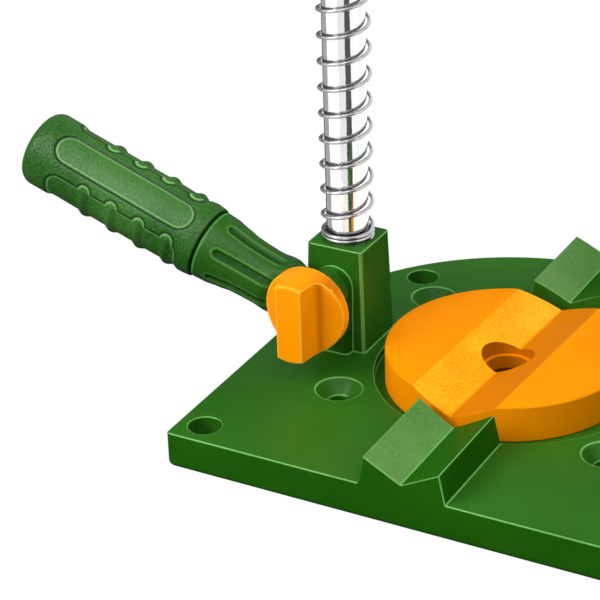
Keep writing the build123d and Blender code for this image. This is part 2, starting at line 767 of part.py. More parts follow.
# The wing knob and its stud
knob_back_y = lug_front_y - washer_thickness - face_gap
knob_back = Plane(origin=(pivot_x, knob_back_y, pivot_height), x_dir=(1, 0, 0), z_dir=(0, -1, 0))
wing_knob = build_wing_knob(knob_back, 1.0, stud_radius, stud_head_radius, stud_head_height)
wing_knob.label = "wing_knob"
export_step(wing_knob, "parts/wing_knob.step")

with BuildPart() as knob_stud:
    with BuildSketch(knob_back.offset(1)):
        RegularPolygon(stud_head_radius, 6, major_radius=False)
    extrude(amount=stud_head_height)
    with BuildSketch(knob_back.offset(1)):
        Circle(stud_radius)
    extrude(amount=-(1 - knob_back_y - socket_bore_radius - stud_tip_inset))
knob_stud.part.label = "knob_stud"
export_step(knob_stud.part, "parts/knob_stud.step")

# The depth stop's smaller knob and its stud
stop_back = Plane(origin=(column_x, -stop_ear_front - face_gap, stop_screw_z), x_dir=(1, 0, 0),
                  z_dir=(0, -1, 0))
stop_head_radius = stud_head_radius * stop_knob_scale * 1.2
stop_head_height = 4.0
stop_knob = build_wing_knob(stop_back, stop_knob_scale, stop_stud_radius, stop_head_radius,
                            stop_head_height)
stop_knob.label = "stop_knob"
export_step(stop_knob, "parts/stop_knob.step")

with BuildPart() as stop_stud:
    with BuildSketch(stop_back.offset(1)):
        RegularPolygon(stop_head_radius, 6, major_radius=False)
    extrude(amount=stop_head_height)
    with BuildSketch(stop_back.offset(1)):
        Circle(stop_stud_radius)
    extrude(amount=-(1 + face_gap + stop_ear_front + stop_rod_y - stop_rod_radius - stop_gap * 2))
stop_stud.part.label = "stop_stud"
export_step(stop_stud.part, "parts/stop_stud.step")
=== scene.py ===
from math import atan2, cos, degrees, exp, hypot, pi, radians, sin, sqrt, tan

import bmesh
import bpy
from mathutils import Matrix, Vector


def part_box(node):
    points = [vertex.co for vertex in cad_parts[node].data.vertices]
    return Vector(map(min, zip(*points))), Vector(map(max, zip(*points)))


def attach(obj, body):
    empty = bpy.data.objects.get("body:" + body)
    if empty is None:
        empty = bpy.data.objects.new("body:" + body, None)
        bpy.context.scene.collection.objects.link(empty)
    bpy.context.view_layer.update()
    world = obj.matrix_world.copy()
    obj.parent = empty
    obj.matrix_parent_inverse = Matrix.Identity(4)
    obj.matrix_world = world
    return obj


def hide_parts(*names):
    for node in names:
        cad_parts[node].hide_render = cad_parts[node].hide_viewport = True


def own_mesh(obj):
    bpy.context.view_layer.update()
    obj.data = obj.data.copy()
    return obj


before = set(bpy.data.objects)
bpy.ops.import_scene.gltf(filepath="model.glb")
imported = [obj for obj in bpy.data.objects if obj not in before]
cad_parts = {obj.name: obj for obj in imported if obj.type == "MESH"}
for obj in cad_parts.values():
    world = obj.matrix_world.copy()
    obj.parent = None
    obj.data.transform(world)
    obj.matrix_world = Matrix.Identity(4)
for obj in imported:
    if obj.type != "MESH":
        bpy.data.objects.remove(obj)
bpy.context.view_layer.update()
mm = 0.001
columnX = 69 * mm
columnSides = (("left", -columnX), ("right", columnX))
print("frame loaded")

cameraSet = {
    "azimuth": 29.517, "elevation": 27.755, "roll": -1.886,
    "target": (-99.263 * mm, 15.126 * mm, 14.6 * mm),
    "distance": 946.416 * mm, "lens": 143.89, "sensor": 36.0, "clip": 0.01,
}


def addCamera(s):
    az, el, roll = radians(s["azimuth"]), radians(s["elevation"]), radians(s["roll"])
    ahead = Vector((-sin(az) * cos(el), cos(az) * cos(el), -sin(el)))
    level = Vector((cos(az), sin(az), 0))
    above = level.cross(ahead)
    right = cos(roll) * level + sin(roll) * above
    up = cos(roll) * above - sin(roll) * level
    data = bpy.data.cameras.new("camera")
    data.lens, data.sensor_width, data.clip_start = s["lens"], s["sensor"], s["clip"]
    camera = bpy.data.objects.new("camera", data)
    bpy.context.collection.objects.link(camera)
    turn = Matrix((right, up, -ahead)).transposed()
    camera.matrix_world = Matrix.Translation(Vector(s["target"]) - s["distance"] * ahead) @ turn.to_4x4()
    bpy.context.scene.camera = camera


addCamera(cameraSet)


def newLook(name):
    look = bpy.data.materials.new(name)
    look.use_nodes = True
    tree = look.node_tree
    return look, tree, tree.nodes["Principled BSDF"]


def addNode(tree, kind, **values):
    node = tree.nodes.new(kind)
    for key, value in values.items():
        setattr(node, key, value)
    return node


def setInputs(node, **values):
    for label, value in values.items():
        node.inputs[label].default_value = value


def joinUp(tree, *pairs):
    for start, end in pairs:
        tree.links.new(start, end)


# A value taken from one range to another
def spread(tree, value, low, high, outLow=0.0, outHigh=1.0):
    node = tree.nodes.new("ShaderNodeMapRange")
    setInputs(node, **{"From Min": low, "From Max": high, "To Min": outLow, "To Max": outHigh})
    tree.links.new(value, node.inputs["Value"])
    return node.outputs["Result"]


# A sum or product of outputs and plain numbers
def reckon(tree, operation, *values):
    node = addNode(tree, "ShaderNodeMath", operation=operation)
    for place, value in zip(node.inputs, values):
        if isinstance(value, bpy.types.NodeSocket):
            tree.links.new(value, place)
        else:
            place.default_value = value
    return node.outputs[0]


# One colour laid over another, which is an output or plain numbers
def mixOver(tree, colour, over, factor):
    mix = addNode(tree, "ShaderNodeMix", data_type="RGBA")
    mix.inputs["B"].default_value = (*over, 1)
    tree.links.new(factor, mix.inputs["Factor"])
    if isinstance(colour, tuple):
        mix.inputs["A"].default_value = (*colour, 1)
    else:
        tree.links.new(colour, mix.inputs["A"])
    return mix.outputs["Result"]


grainSet = {
    "size": 900.0, "depth": 0.1, "spread": 30.0, "detail": 3.0, "broadDetail": 2.0, "bumpDepth": 0.0003,
    "range": 0.5, "roughSpan": 0.05, "tint": 0.3, "specular": 0.5,
}


# Fine grain as a value and a bump, with a broad mottling
def grainGroup(s):
    tree = bpy.data.node_groups.new("surfaceGrain", "ShaderNodeTree")
    for label, start in (("Size", s["size"]), ("Depth", s["depth"]), ("Spread", s["spread"])):
        socket = tree.interface.new_socket(label, in_out="INPUT", socket_type="NodeSocketFloat")
        socket.default_value = start
    for label, kind in (("Grain", "Float"), ("Mottle", "Float"), ("Normal", "Vector")):
        tree.interface.new_socket(label, in_out="OUTPUT", socket_type="NodeSocket" + kind)
    inputs, outputs = tree.nodes.new("NodeGroupInput"), tree.nodes.new("NodeGroupOutput")
    place, bump = tree.nodes.new("ShaderNodeTexCoord"), tree.nodes.new("ShaderNodeBump")
    fine, broad = tree.nodes.new("ShaderNodeTexNoise"), tree.nodes.new("ShaderNodeTexNoise")
    setInputs(fine, Detail=s["detail"])
    setInputs(broad, Detail=s["broadDetail"])
    setInputs(bump, Distance=s["bumpDepth"])
    joinUp(tree,
           (place.outputs["Object"], fine.inputs["Vector"]),
           (place.outputs["Object"], broad.inputs["Vector"]),
           (inputs.outputs["Size"], fine.inputs["Scale"]), (inputs.outputs["Spread"], broad.inputs["Scale"]),
           (fine.outputs["Fac"], bump.inputs["Height"]), (inputs.outputs["Depth"], bump.inputs["Strength"]),
           (fine.outputs["Fac"], outputs.inputs["Grain"]), (broad.outputs["Fac"], outputs.inputs["Mottle"]),
           (bump.outputs["Normal"], outputs.inputs["Normal"]))
    return tree


grain = grainGroup(grainSet)
# Where a shade begins and is full, by the surface's own normal along X
shadeSet = {"left": (-0.1, -0.5), "right": (0.15, 0.6), "rightEnd": (0.98, 0.75)}


def normalX(tree):
    facing = tree.nodes.new("ShaderNodeSeparateXYZ")
    tree.links.new(tree.nodes.new("ShaderNodeTexCoord").outputs["Normal"], facing.inputs[0])
    return facing.outputs["X"]


# Paint or plastic whose colour and roughness wander a little
def paintLook(name, s):
    look, tree, shader = newLook(name)
    node = addNode(tree, "ShaderNodeGroup", node_tree=grain)
    setInputs(node, Size=s["grainSize"], Depth=s["grainDepth"])
    tint = s.get("grainTint", grainSet["tint"])
    fine = reckon(tree, "MULTIPLY", node.outputs["Grain"], tint)
    wander = reckon(tree, "ADD", node.outputs["Mottle"], fine)
    low = (1 - grainSet["range"] + tint) / 2
    colour = mixOver(tree, s["dark"], s["light"], spread(tree, wander, low, low + grainSet["range"]))
    # Painted shade along creases and painted highlights beside them, from marks the piece carries
    for mark in ("paintedHighlight", "creaseShade"):
        if mark in s:
            where = addNode(tree, "ShaderNodeAttribute", attribute_name=mark)
            colour = mixOver(tree, colour, s[mark], where.outputs["Fac"])
    if "leftShade" in s:
        colour = mixOver(tree, colour, s["leftShade"], spread(tree, normalX(tree), *shadeSet["left"]))
    if "rightShade" in s:
        x = normalX(tree)
        starting, ending = spread(tree, x, *shadeSet["right"]), spread(tree, x, *shadeSet["rightEnd"])
        colour = mixOver(tree, colour, s["rightShade"], reckon(tree, "MULTIPLY", starting, ending))
    # Painted highlight on sharp edges
    if "edgeHighlight" in s:
        sharpness = tree.nodes.new("ShaderNodeNewGeometry").outputs["Pointiness"]
        colour = mixOver(tree, colour, s["edgeHighlight"], spread(tree, sharpness, s["edgeFrom"], s["edgeTo"]))
    # Painted light: the colour also glows, though the piece is no lamp
    if "glow" in s:
        tree.links.new(colour, shader.inputs["Emission Color"])
        shader.inputs["Emission Strength"].default_value = s["glow"]
    span = grainSet["roughSpan"]
    rough = spread(tree, node.outputs["Mottle"], 0, 1, s["rough"] - span, s["rough"] + span)
    joinUp(tree, (colour, shader.inputs["Base Color"]), (rough, shader.inputs["Roughness"]),
           (node.outputs["Normal"], shader.inputs["Normal"]))
    shader.inputs["Specular IOR Level"].default_value = s.get("specular", grainSet["specular"])
    return look


streakSet = {"detail": 4.0, "bumpDepth": 0.0001, "roughFrom": 0.7, "roughTo": 1.3}


# Bare or plated metal, streaked along one axis
def metalLook(name, s):
    look, tree, shader = newLook(name)
    place, stretch = tree.nodes.new("ShaderNodeTexCoord"), tree.nodes.new("ShaderNodeMapping")
    streak, bump = tree.nodes.new("ShaderNodeTexNoise"), tree.nodes.new("ShaderNodeBump")
    setInputs(stretch, Scale=s["stretch"])
    setInputs(streak, Scale=s["streakSize"], Detail=streakSet["detail"])
    setInputs(bump, Distance=streakSet["bumpDepth"], Strength=s["bump"])
    strength = streak.outputs["Fac"]
    roughest, smoothest = s["rough"] * streakSet["roughTo"], s["rough"] * streakSet["roughFrom"]
    joinUp(tree, (place.outputs["Object"], stretch.inputs["Vector"]),
           (stretch.outputs["Vector"], streak.inputs["Vector"]), (strength, bump.inputs["Height"]),
           (mixOver(tree, s["dark"], s["light"], strength), shader.inputs["Base Color"]),
           (spread(tree, strength, 0, 1, smoothest, roughest), shader.inputs["Roughness"]),
           (bump.outputs["Normal"], shader.inputs["Normal"]))
    shader.inputs["Metallic"].default_value = s["metallic"]
    return look


paintSet = {
    "greenPaint": {
        "dark": (0.017, 0.120, 0.004), "light": (0.025, 0.152, 0.008), "rough": 0.45,
        "grainSize": 1500.0, "grainDepth": 0.06, "specular": 0.2},
    # Painted highlight for rounded edges, with painted shade where they face left
    "greenEdgeHighlight": {
        "dark": (0.11, 0.37, 0.07), "light": (0.17, 0.47, 0.11), "rough": 0.28,
        "grainSize": 1500.0, "grainDepth": 0.05, "specular": 0.3, "leftShade": (0.008, 0.06, 0.002)},
    # The slope that faces the light, painted lighter as painted light
    "greenLitSlope": {
        "dark": (0.075, 0.235, 0.035), "light": (0.150, 0.330, 0.095), "rough": 0.5,
        "grainSize": 1500.0, "grainDepth": 0.6, "grainTint": 1.0, "specular": 0.15},
    "greenShade": {
        "dark": (0.009, 0.090, 0.001), "light": (0.013, 0.112, 0.002), "rough": 0.5,
        "grainSize": 1500.0, "grainDepth": 0.06, "specular": 0.04},
    "greenGlint": {
        "dark": (0.22, 0.42, 0.18), "light": (0.40, 0.60, 0.35), "rough": 0.4,
        "grainSize": 1500.0, "grainDepth": 0.1, "specular": 0.2, "glow": 0.4},
    "orangePaint": {
        "dark": (0.88, 0.245, 0.0), "light": (0.96, 0.30, 0.0), "rough": 0.42,
        "grainSize": 1800.0, "grainDepth": 0.15, "specular": 0.03, "glow": 0.08},
    # The V's lit slope, painted lighter, with coarse grain
    "orangeLitSlope": {
        "dark": (0.90, 0.28, 0.0), "light": (1.0, 0.50, 0.02), "rough": 0.5,
        "grainSize": 1500.0, "grainDepth": 0.6, "grainTint": 1.2, "specular": 0.04, "glow": 0.12},
    "orangeShade": {
        "dark": (0.58, 0.165, 0.0), "light": (0.66, 0.19, 0.0), "rough": 0.45,
        "grainSize": 1800.0, "grainDepth": 0.15, "specular": 0.03, "glow": 0.05},
    # Painted shade inside the hole
    "orangeHoleShade": {
        "dark": (0.42, 0.12, 0.0), "light": (0.55, 0.16, 0.0), "rough": 0.5,
        "grainSize": 1500.0, "grainDepth": 0.3, "specular": 0.05, "glow": 0.1},
    # Painted shade on faces turned right, painted highlight on sharp edges, and a glow as painted light
    "orangePlastic": {
        "dark": (0.89, 0.258, 0.0), "light": (0.94, 0.305, 0.0), "rough": 0.32,
        "grainSize": 1400.0, "grainDepth": 0.05, "specular": 0.06, "glow": 0.22,
        "rightShade": (0.62, 0.17, 0.0), "edgeHighlight": (1.0, 0.52, 0.045), "edgeFrom": 0.504, "edgeTo": 0.545},
    "greenGrip": {
        "dark": (0.008, 0.082, 0.001), "light": (0.050, 0.185, 0.026), "rough": 0.36,
        "grainSize": 1200.0, "grainDepth": 0.9, "grainTint": 0.9, "specular": 0.32,
        "creaseShade": (0.002, 0.028, 0.001), "paintedHighlight": (0.24, 0.52, 0.17)},
    "greenNeck": {
        "dark": (0.009, 0.080, 0.001), "light": (0.028, 0.140, 0.008), "rough": 0.36,
        "grainSize": 1300.0, "grainDepth": 0.5, "grainTint": 0.8, "specular": 0.28,
        "creaseShade": (0.004, 0.045, 0.002), "paintedHighlight": (0.09, 0.30, 0.055)},
    "blackPlastic": {
        "dark": (0.015, 0.015, 0.015), "light": (0.03, 0.03, 0.03), "rough": 0.5,
        "grainSize": 1400.0, "grainDepth": 0.2},
    "rubber": {
        "dark": (0.012, 0.012, 0.012), "light": (0.02, 0.02, 0.02), "rough": 0.75,
        "grainSize": 900.0, "grainDepth": 0.3},
}
metalSet = {
    "chrome": {
        "dark": (0.50, 0.50, 0.51), "light": (0.62, 0.62, 0.63), "rough": 0.07,
        "stretch": (1, 1, 0.25), "streakSize": 900.0, "bump": 0.25, "metallic": 0.97},
    "springWire": {
        "dark": (0.17, 0.17, 0.175), "light": (0.38, 0.38, 0.39), "rough": 0.24,
        "stretch": (1, 1, 1), "streakSize": 700.0, "bump": 0.05, "metallic": 1.0},
    "zincSteel": {
        "dark": (0.42, 0.42, 0.44), "light": (0.62, 0.62, 0.64), "rough": 0.32,
        "stretch": (1, 1, 1), "streakSize": 500.0, "bump": 0.06, "metallic": 1.0},
    "bronze": {
        "dark": (0.45, 0.27, 0.10), "light": (0.66, 0.43, 0.20), "rough": 0.38,
        "stretch": (1, 1, 1), "streakSize": 600.0, "bump": 0.08, "metallic": 1.0},
}
looks = {name: paintLook(name, s) for name, s in paintSet.items()}
looks.update({name: metalLook(name, s) for name, s in metalSet.items()})
print("materials made")

shapeSet = {
    "merge": 1e-6, "flat": 0.6, "sharp": 35.0, "softSharp": 80.0, "roundFrom": 32.0, "drumSides": 96,
    "castRound": 0.42 * mm, "castSegments": 3, "partRound": 0.3 * mm, "washerRound": 0.2 * mm,
    "softening": 0.5,
}


def addPiece(bm, name, look, body, replaced=(), sharp=shapeSet["sharp"], edgeHighlightLook=None):
    mesh = bpy.data.meshes.new(name)
    bm.to_mesh(mesh)
    bm.free()
    piece = bpy.data.objects.new(name, mesh)
    bpy.context.collection.objects.link(piece)
    mesh.materials.append(looks[look])
    # A second look, when given, paints a highlight on the rounded edges
    if edgeHighlightLook:
        mesh.materials.append(looks[edgeHighlightLook])
    for polygon in mesh.polygons:
        polygon.use_smooth = True
    mesh.set_sharp_from_angle(angle=radians(sharp))
    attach(piece, body)
    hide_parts(*replaced)
    return piece


def addBevel(piece, width, segments, method="ANGLE", miter="MITER_ARC", edgeSlot=-1):
    bevel = piece.modifiers.new("edgeRound", "BEVEL")
    bevel.width, bevel.segments, bevel.limit_method = width, segments, method
    bevel.angle_limit, bevel.harden_normals, bevel.material = radians(shapeSet["roundFrom"]), True, edgeSlot
    bevel.use_clamp_overlap, bevel.miter_outer = False, miter


# A merged copy of a CAD node, with its flat faces whole again
def cadMesh(node, whole=True):
    bm = bmesh.new()
    bm.from_mesh(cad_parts[node].data)
    bmesh.ops.remove_doubles(bm, verts=bm.verts, dist=shapeSet["merge"])
    if whole:
        bmesh.ops.dissolve_limit(bm, angle_limit=radians(shapeSet["flat"]), verts=bm.verts, edges=bm.edges,
                                 use_dissolve_boundaries=False, delimit=set())
    return bm


# Only the edges above a height are rounded when one is given
def dressCad(node, name, look, body, width=0.0, segments=2, edgeHighlightLook=None, above=None):
    bm = cadMesh(node)
    if above is not None:
        weight = bm.edges.layers.float.new("bevel_weight_edge")
        for edge in bm.edges:
            high = min(v.co.z for v in edge.verts) > above
            edge[weight] = 1 if high and edge.calc_face_angle(0) > radians(shapeSet["roundFrom"]) else 0
    piece = addPiece(bm, name, look, body, (node,), edgeHighlightLook=edgeHighlightLook)
    if width:
        method = "ANGLE" if above is None else "WEIGHT"
        addBevel(piece, width, segments, method, edgeSlot=1 if edgeHighlightLook else -1)
    return piece


# A CAD shape with every edge softened, as moulding leaves it
def softCad(node, name, look, body, voxel, passes):
    piece = addPiece(cadMesh(node, False), name, look, body, (node,), shapeSet["softSharp"])
    remesh = piece.modifiers.new("evenSkin", "REMESH")
    remesh.mode, remesh.voxel_size, remesh.use_smooth_shade = "VOXEL", voxel, True
    soften = piece.modifiers.new("softEdges", "SMOOTH")
    soften.factor, soften.iterations = shapeSet["softening"], passes


def cutAway(bm, cutters):
    made = []
    for number, shape in enumerate([bm] + cutters):
        mesh = bpy.data.meshes.new(f"rough{number}")
        shape.to_mesh(mesh)
        shape.free()
        made.append(bpy.data.objects.new(f"rough{number}", mesh))
        bpy.context.collection.objects.link(made[-1])
    for cutter in made[1:]:
        cut = made[0].modifiers.new("cut", "BOOLEAN")
        cut.operation, cut.solver, cut.object = "DIFFERENCE", "EXACT", cutter
    shown = made[0].evaluated_get(bpy.context.evaluated_depsgraph_get())
    result = bmesh.new()
    result.from_mesh(shown.to_mesh())
    shown.to_mesh_clear()
    for piece in made:
        mesh = piece.data
        bpy.data.objects.remove(piece)
        bpy.data.meshes.remove(mesh)
    return result


def addDrum(bm, radius, low, high, place, segments=shapeSet["drumSides"]):
    bmesh.ops.create_cone(bm, cap_ends=True, segments=segments, radius1=radius, radius2=radius,
                          depth=high - low, matrix=place @ Matrix.Translation((0, 0, (low + high) / 2)))


plateSet = {
    "looks": ("greenLitSlope", "greenShade", "greenGlint"), "edgeAbove": 4 * mm, "upright": 0.3,
    "socketLow": 19 * mm, "socketIn": 50 * mm, "socketFlat": 9 * mm, "cornerLean": 0.25,
    "recess": (-1.9 * mm, -1.8 * mm), "recessOut": (43 * mm, 49 * mm), "recessUp": (10 * mm, 20 * mm),
    "bossLow": 15 * mm, "bossFront": -13 * mm, "bossHalf": 12 * mm,
    "railLow": 15 * mm, "slopeLow": 16 * mm, "railHalf": 40 * mm, "railIn": 45 * mm, "slope": (0.6, 0.97),
    "slopeAcross": 0.2, "slopeAside": 0.1, "rimStraight": 92.5 * mm, "rimRound": 92 * mm,
    "glintFacing": 0.5, "bossFacing": 0.3, "railFacing": 0.85,
}


# The look of a face of the plate by its place and facing: 0 paint, 1 painted edge highlight, 2 painted light
# on the lit slope, 3 painted shade, 4 painted glint
def plateFace(s, centre, normal):
    x, y, z = centre
    across, aside, level = abs(normal.x), abs(normal.y), normal.z
    upright, offSocket = abs(level) < s["upright"], abs(abs(x) - columnX)
    fromDisc = hypot(x - s["recess"][0], y - s["recess"][1])
    onRail = abs(x) < s["railHalf"] and abs(y) > s["railIn"]
    # Rounded socket corners get the painted edge highlight
    if (z > s["socketLow"] and abs(x) > s["socketIn"] and offSocket > s["socketFlat"] and upright
            and min(across, aside) > s["cornerLean"]):
        return 1
    atRecess = s["recessOut"][0] < fromDisc < s["recessOut"][1] and s["recessUp"][0] < z < s["recessUp"][1]
    # The recess wall gets the painted edge highlight, or a painted glint where it faces right
    if upright and atRecess:
        return 4 if normal.x > s["glintFacing"] else 1
    # The boss's side turned right gets painted shade
    if z > s["bossLow"] and y < s["bossFront"] and offSocket < s["bossHalf"] and normal.x > s["bossFacing"]:
        return 3
    sloping = s["slope"][0] < level < s["slope"][1] and across > s["slopeAcross"] and aside < s["slopeAside"]
    # On the rails, the slope facing right is painted lighter as lit, the other painted shade
    if onRail and z > s["slopeLow"] and sloping:
        return 2 if normal.x > 0 else 3
    # The rails' faces turned right get painted shade
    if onRail and z > s["railLow"] and normal.x > s["railFacing"]:
        return 3
    # The plate's outer sides and downward faces get painted shade
    outside = max(abs(x), -y) > s["rimStraight"] or y > 0 and hypot(x, y) > s["rimRound"]
    return 3 if level < s["upright"] and outside else 0


plate = dressCad("base_plate", "basePlate", "greenPaint", "base", shapeSet["castRound"],
                 shapeSet["castSegments"], edgeHighlightLook="greenEdgeHighlight", above=plateSet["edgeAbove"])
for look in plateSet["looks"]:
    plate.data.materials.append(looks[look])
for face in plate.data.polygons:
    face.material_index = plateFace(plateSet, face.center, face.normal)

# How far the cutters go past the disc is in vBeyond, vReach and over
discSet = {
    "centre": (-1.9 * mm, -1.8 * mm, 11.6 * mm), "turn": -2.7, "radius": 45.7 * mm, "height": 14.35 * mm,
    "vHalf": 17.15 * mm, "vDepth": 6.72 * mm, "vRound": 0.8 * mm, "vFoot": 0.4 * mm, "roundPoints": 4,
    "hole": 9.9 * mm, "lowerHole": 8.4 * mm, "step": 2.4 * mm, "wall": 3.5 * mm, "skin": 4.0 * mm,
    "rib": 3.0 * mm, "segments": 122, "vBeyond": (1.6, 0.6), "vReach": 1.2, "over": 1.0 * mm,
    "edge": 0.7 * mm, "edgeSegments": 3, "sharp": 12.0,
    "looks": ("orangeLitSlope", "orangeShade", "orangeHoleShade"), "slopeX": (0.3, 0.45), "slopeZ": 0.9,
    "upright": 0.3, "nearWall": 0.3 * mm, "nearRim": 0.1 * mm, "shortest": 0.02 * mm,
}


# The V from left to right as the cutter follows it, with rounded top edges and a rounded bottom
def vProfile(s):
    slope = atan2(s["vDepth"], s["vHalf"])
    right = [(s["vHalf"] * s["vBeyond"][0], s["vDepth"] * s["vBeyond"][1])]
    for corner, size, before, after in (((s["vHalf"], 0), s["vRound"], 0, slope),
                                        ((0, -s["vDepth"]), s["vFoot"], slope, -slope)):
        a = (corner[0] + size * cos(before), corner[1] + size * sin(before))
        b = (corner[0] - size * cos(after), corner[1] - size * sin(after))
        for i in range(s["roundPoints"]):
            u = i / (s["roundPoints"] - 1)
            first, bend, last = (1 - u) ** 2, 2 * u * (1 - u), u * u
            right.append(tuple(first * a[k] + bend * corner[k] + last * b[k] for k in (0, 1)))
    rightHalf = [point for point in right if point[0] > shapeSet["merge"]]
    return [(-x, z) for x, z in rightHalf] + rightHalf[::-1]


# Looks by facing and place: 1 the V's left slope, painted lighter as the lit side; 2 its right slope, painted
# shade; 3 the hole's wall, painted shade
def discLooks(piece, s):
    middle = Vector(s["centre"])
    for look in s["looks"]:
        piece.data.materials.append(looks[look])
    for face in piece.data.polygons:
        if s["slopeX"][0] < abs(face.normal.x) < s["slopeX"][1] and face.normal.z > s["slopeZ"]:
            face.material_index = 1 if face.normal.x > 0 else 2
        elif (abs(face.normal.z) < s["upright"]
              and (face.center - middle).xy.length < s["hole"] + s["nearWall"]):
            face.material_index = 3
    rim = piece.data.attributes.new("bevel_weight_edge", "FLOAT", "EDGE")
    for edge in piece.data.edges:
        a, b = (piece.data.vertices[v].co - middle for v in edge.vertices)
        onRim = (a + b).xy.length / 2 > s["radius"] - s["nearRim"] and (a - b).xy.length > s["shortest"]
        rim.data[edge.index].value = 1 if onRim else 0


def discPiece(s):
    place = Matrix.Translation(s["centre"]) @ Matrix.Rotation(radians(s["turn"]), 4, "Z")
    upright = place @ Matrix.Rotation(pi / 2, 4, "Z")
    body, vCut, bore, wide, pocket, hub, ribX, ribY = (bmesh.new() for _ in range(8))
    addDrum(body, s["radius"], 0, s["height"], upright, s["segments"])
    start = -s["radius"] * s["vReach"]
    corners = [place @ Vector((x, start, s["height"] + z)) for x, z in vProfile(s)]
    face = vCut.faces.new([vCut.verts.new(corner) for corner in corners])
    moved = bmesh.ops.extrude_face_region(vCut, geom=[face])["geom"]
    bmesh.ops.translate(vCut, verts=[g for g in moved if isinstance(g, bmesh.types.BMVert)],
                        vec=place.to_3x3() @ Vector((0, -2 * start, 0)))
    bmesh.ops.recalc_face_normals(vCut, faces=vCut.faces)
    floorOfV = s["height"] - s["vDepth"]
    top = floorOfV - s["skin"]
    addDrum(bore, s["lowerHole"], -s["over"], floorOfV - s["step"], place)
    addDrum(wide, s["hole"], floorOfV - s["step"], s["height"] + s["over"], place)
    addDrum(pocket, s["radius"] - s["wall"], -s["over"], top, place)
    addDrum(hub, s["hole"] + s["wall"], -2 * s["over"], top + s["over"], place)
    for rib, size in ((ribX, (2 * s["radius"], s["rib"])), (ribY, (s["rib"], 2 * s["radius"]))):
        bmesh.ops.create_cube(rib, size=1.0, matrix=place @ Matrix.Diagonal((*size, 4 * top, 1)))
    pocket = cutAway(pocket, [hub, ribX, ribY])
    bm = cutAway(body, [vCut, wide, bore, pocket])
    bmesh.ops.remove_doubles(bm, verts=bm.verts, dist=shapeSet["merge"])
    piece = addPiece(bm, "vInsert", "orangePaint", "base", ("v_insert",), s["sharp"])
    discLooks(piece, s)
    addBevel(piece, s["edge"], s["edgeSegments"], "WEIGHT", "MITER_SHARP")


discPiece(discSet)
print("base made")

columnSet = {"rim": 0.8 * mm, "rimSegments": 2}
springSet = {"wire": 0.70 * mm, "coil": 9.4 * mm, "gap": 0.1 * mm, "sides": 12, "stepsPerTurn": 48,
             "closedTurns": 2, "activeTurns": 12.8, "startTurn": -2.5, "travel": 90 * mm, "sharp": 60.0}


def columnPiece(side, centre, s):
    low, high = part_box(f"{side}_column")
    bm = bmesh.new()
    addDrum(bm, (high.x - low.x) / 2, low.z, high.z, Matrix.Translation((centre, 0, 0)))
    rims = [e for e in bm.edges if abs(e.verts[0].co.z - e.verts[1].co.z) < shapeSet["merge"]]
    bmesh.ops.bevel(bm, geom=rims, offset=s["rim"], affect="EDGES", segments=s["rimSegments"], profile=0.5,
                    material=-1)
    addPiece(bm, f"{side}Column", "chrome", "base", (f"{side}_column",))


# A wire swept up in closed, open and closed turns, which the carriage then presses together
def springPiece(side, centre, s):
    low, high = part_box(f"{side}_spring")
    bottom, top = low.z + s["wire"], high.z - s["wire"]
    closedRise = s["closedTurns"] * (2 * s["wire"] + s["gap"])
    activeRise = top - bottom - 2 * closedRise
    bm = bmesh.new()
    ring = bmesh.ops.create_circle(bm, segments=s["sides"], radius=s["wire"])["verts"]
    bmesh.ops.rotate(bm, verts=ring, cent=(0, 0, 0), matrix=Matrix.Rotation(pi / 2, 3, "X"))
    bmesh.ops.translate(bm, verts=ring, vec=(centre + s["coil"], 0, bottom))
    bmesh.ops.rotate(bm, verts=ring, cent=(centre, 0, 0),
                     matrix=Matrix.Rotation(radians(s["startTurn"]), 3, "Z"))
    startEdges = list(bm.edges)
    endGeom = list(bm.verts) + startEdges
    closed = (s["closedTurns"], closedRise)
    for turns, rise in (closed, (s["activeTurns"], activeRise), closed):
        steps = round(turns * s["stepsPerTurn"])
        made = bmesh.ops.spin(bm, geom=endGeom, cent=(centre, 0, 0), axis=(0, 0, 1), angle=2 * pi * turns,
                              dvec=(0, 0, rise / steps), steps=steps, use_merge=False, use_duplicate=False)
        endGeom = [g for g in made["geom_last"] if isinstance(g, (bmesh.types.BMVert, bmesh.types.BMEdge))]
    bmesh.ops.contextual_create(bm, geom=startEdges)
    bmesh.ops.contextual_create(bm, geom=[g for g in endGeom if isinstance(g, bmesh.types.BMEdge)])
    bmesh.ops.recalc_face_normals(bm, faces=bm.faces)
    piece = addPiece(bm, f"{side}Spring", "springWire", "base", (f"{side}_spring",),
                     s["sharp"])
    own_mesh(piece)


partRound, washerRound = shapeSet["partRound"], shapeSet["washerRound"]
for side, centre in columnSides:
    columnPiece(side, centre, columnSet)
    springPiece(side, centre, springSet)
    dressCad(f"{side}_column_bolt", f"{side}ColumnBolt", "zincSteel", "base", partRound)
    dressCad(f"{side}_buffer", f"{side}Buffer", "rubber", "base")
    dressCad(f"{side}_end_cap", f"{side}EndCap", "blackPlastic", "base", partRound)
    dressCad(f"{side}_cap_screw", f"{side}CapScrew", "zincSteel", "base")
    for level in ("lower", "upper"):
        name = f"{side}{level.capitalize()}Bush"
        dressCad(f"{side}_{level}_bush", name, "bronze", "carriage", partRound)
print("columns made")

# The carriage's rounded edges get the painted edge highlight
dressCad("carriage", "carriage", "greenPaint", "carriage", shapeSet["castRound"],
         shapeSet["castSegments"], edgeHighlightLook="greenEdgeHighlight")
dressCad("collar_screw", "collarScrew", "zincSteel", "carriage", partRound)
dressCad("collar_nut", "collarNut", "zincSteel", "carriage", partRound)
dressCad("collar_washer", "collarWasher", "zincSteel", "carriage", washerRound)
dressCad("stop_rod", "stopRod", "chrome", "depth_rod")
softCad("stop_knob", "stopKnob", "orangePlastic", "stop_knob", voxel=0.25 * mm, passes=5)
dressCad("stop_stud", "stopStud", "zincSteel", "stop_knob", washerRound)
print("carriage made")

